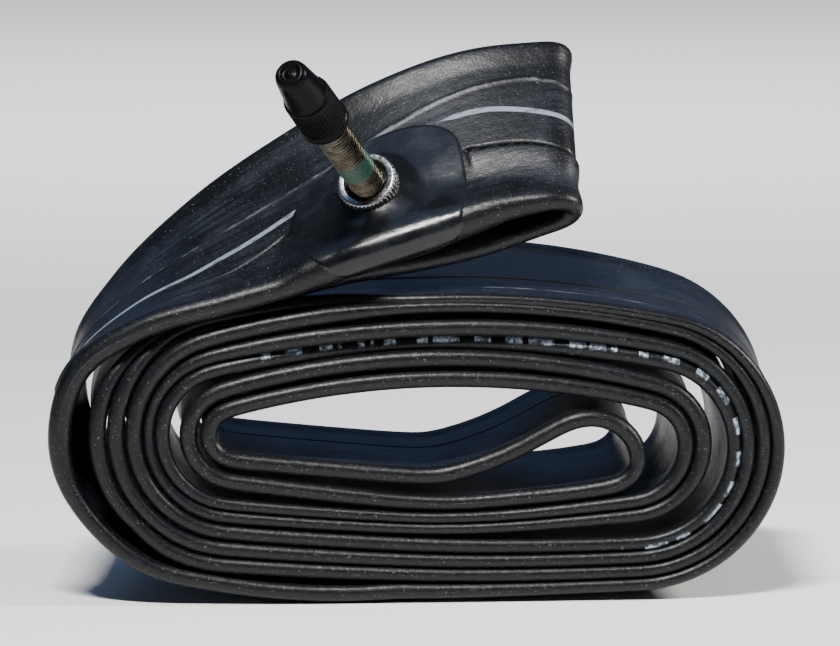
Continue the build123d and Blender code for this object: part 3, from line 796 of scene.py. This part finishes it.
def metal_shader(name, bright, dull, band=None, turned_marks=0.0):
    """Stained metal, with an optional painted band and fine rings from turning."""
    shade = Shader(name, 0.28, metallic=1.0)
    stain = shade.ramp(shade.noise(shade.place(), 0.5, 4, 0.65), 0.35, 0.7)
    base = shade.mix(stain, bright, dull)
    rough = shade.ramp(shade.noise(shade.place(), 1.3, 3), 0.3, 0.7, 0.2, 0.38)
    if band:
        low, high, paint = band
        ragged = shade.math("MULTIPLY", shade.noise(shade.place(), 0.4, 3), 0.9)
        height = shade.math("ADD", shade.value("height"), ragged)
        above, below = shade.ramp(height, low, low + 0.3), shade.ramp(height, high - 0.3, high, 1.0, 0.0)
        left = shade.ramp(shade.value("turned_r"), STEM_R - 0.08, STEM_R - 0.01, 1.0, 0.3)
        coat = shade.math("MULTIPLY", shade.math("MULTIPLY", above, below), left)
        base = shade.mix(coat, base, paint)
        shade.feed(shade.surface.inputs["Metallic"], shade.math("SUBTRACT", 1.0, coat))
    if turned_marks:
        rings = shade.math("SINE", shade.math("MULTIPLY", shade.value("turned_r"), 90.0))
        scratch = shade.noise(shade.place(), 5.0, 2)
        shade.bump(shade.math("ADD", rings, scratch), 0.004, turned_marks)
    else:
        shade.bump(shade.noise(shade.place(), 3.0, 3), 0.004, 0.3)
    shade.color(base)
    shade.roughness(rough)
    return shade


def plastic_shader(name, base_color, worn_color, rough, specular=0.5):
    """Fine-grained plastic or rubber with pale wear."""
    shade = Shader(name, rough[0], specular=specular)
    grain = shade.noise(shade.place(), 4.0, 3)
    wear = shade.ramp(shade.noise(shade.place(), 0.9, 4, 0.7), 0.6, 0.75)
    shade.color(shade.mix(shade.math("MULTIPLY", wear, 0.5), base_color, worn_color))
    shade.roughness(shade.ramp(grain, 0.3, 0.7, *rough))
    shade.bump(grain, 0.015, 0.6)
    return shade


butyl = butyl_shader()
for strip in (tube_run, tube_coil):
    dress(strip, butyl)
dress(patch, patch_shader())

STEM_BRIGHT, STEM_DULL = (0.09, 0.083, 0.064), (0.038, 0.031, 0.022)
GREEN_BAND = (11.2, 16.2, (0.003, 0.045, 0.032))       # a band of paint on the stem: from, to and colour
NUT_BRIGHT, NUT_DULL = (0.26, 0.28, 0.31), (0.2, 0.19, 0.18)
dress(stem, metal_shader("nickel_thread", STEM_BRIGHT, STEM_DULL, GREEN_BAND))
dress(nut, metal_shader("nickel_nut", NUT_BRIGHT, NUT_DULL, turned_marks=0.1))

CAP_BLACK, CAP_WORN = (0.0022, 0.0022, 0.0025), (0.006, 0.006, 0.0065)
dress(cap, plastic_shader("cap_plastic", CAP_BLACK, CAP_WORN, (0.24, 0.36), 0.06))

brass = metal_shader("core_brass", (0.68, 0.5, 0.22), (0.4, 0.27, 0.1))
for node in ("core_body", "core_pin", "core_lock_nut"):
    dress(NODES[node], brass)
SEAL_BLACK, SEAL_WORN = (0.012, 0.012, 0.012), (0.03, 0.03, 0.03)
WASHER_WHITE, WASHER_WORN = (0.7, 0.7, 0.66), (0.5, 0.49, 0.45)
dress(NODES["core_seal"], plastic_shader("seal_rubber", SEAL_BLACK, SEAL_WORN, (0.4, 0.55)))
dress(NODES["core_washer"], plastic_shader("washer_plastic", WASHER_WHITE, WASHER_WORN, (0.35, 0.5)))

# ---------------------------------------------------------------- floor, light and camera
FLOOR_REACH = 3.0           # metres, as is everything from here on
floor_mesh = bpy.data.meshes.new("floor")
floor_corners = [(x * FLOOR_REACH, y * FLOOR_REACH, 0) for x, y in ((-1, -1), (1, -1), (1, 1), (-1, 1))]
floor_mesh.from_pydata(floor_corners, [], [(0, 1, 2, 3)])
floor = bpy.data.objects.new("floor", floor_mesh)
bpy.context.scene.collection.objects.link(floor)
pale = Shader("pale_floor", 0.7)
pale.color(pale.mix(pale.noise(pale.place(), 0.004, 2), (0.8, 0.8, 0.8), (0.86, 0.86, 0.86)))
dress(floor, pale)

world = bpy.data.worlds.new("studio")
world.use_nodes = True
world.node_tree.nodes["Background"].inputs["Color"].default_value = (0.5, 0.68, 1.0, 1)
world.node_tree.nodes["Background"].inputs["Strength"].default_value = 0.05
bpy.context.scene.world = world


def area_light(name, at, aim, size, watts, color=(1, 1, 1)):
    data = bpy.data.lights.new(name, "AREA")
    data.shape = "RECTANGLE"
    data.size, data.size_y = size
    data.energy = watts
    data.color = color
    light = bpy.data.objects.new(name, data)
    light.location = at
    light.rotation_euler = (Vector(aim) - Vector(at)).to_track_quat("-Z", "Y").to_euler()
    bpy.context.scene.collection.objects.link(light)


middle = (CAD_BOX[0] + CAD_BOX[1]) / 2
area_light("key", (-0.16, -0.46, 0.82), middle, (0.26, 0.05), 18, (1.0, 0.98, 0.95))
area_light("right", (0.62, -0.10, 0.42), middle, (0.12, 0.2), 7, (1.0, 0.96, 0.9))
area_light("sky", (-0.24, -0.02, 0.9), middle, (0.6, 0.6), 1.1, (0.38, 0.58, 1.0))
area_light("low_sky", (0, 0.95, 0.42), middle, (1.3, 0.4), 0.55, (0.34, 0.5, 1.0))
area_light("far_floor", (0, 0.55, 0.5), (0, 1.5, 0), (1.8, 0.3), 14)

AZIMUTH, ELEVATION = radians(-3.3), radians(8.5)
LOOK_AT = Vector((0, -0.022, 0.0483))
DISTANCE = 0.9
SENSOR, LENS = 36.0, 231.43
camera = bpy.data.objects.new("camera", bpy.data.cameras.new("camera"))
back = Vector((sin(AZIMUTH) * cos(ELEVATION), -cos(AZIMUTH) * cos(ELEVATION), sin(ELEVATION)))
camera.location = LOOK_AT + DISTANCE * back
camera.rotation_euler = (-back).to_track_quat("-Z", "Y").to_euler()
camera.data.sensor_width, camera.data.lens = SENSOR, LENS
camera.data.clip_start, camera.data.clip_end = 0.05, 20
bpy.context.scene.collection.objects.link(camera)
bpy.context.scene.camera = camera
